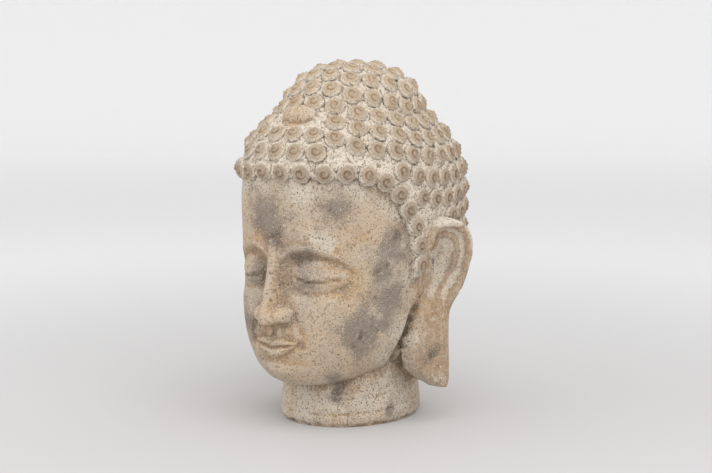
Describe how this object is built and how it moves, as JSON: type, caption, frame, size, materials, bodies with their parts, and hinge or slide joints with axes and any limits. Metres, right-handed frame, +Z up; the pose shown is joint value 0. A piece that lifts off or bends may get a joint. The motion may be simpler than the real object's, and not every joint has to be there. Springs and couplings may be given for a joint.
{
  "type": "stone buddha head",
  "caption": "Carved stone head with rows of snail-shell curls, a low crown mound and long ear lobes, cut off flat below the neck to stand by its own weight.",
  "frame": {"origin": "middle of the flat underside of the neck, which is what the head stands on", "axes": "+Z up to the crown, the face looks along -Y, +X is the statue's own left"},
  "size_m": [0.3062, 0.3403, 0.4525],
  "materials": {
    "stone": "matt, worn and pitted, with pale deposits and grey patches"
  },
  "bodies": {
    "root": {"stone_head": "stone"}
  },
  "joints": []
}
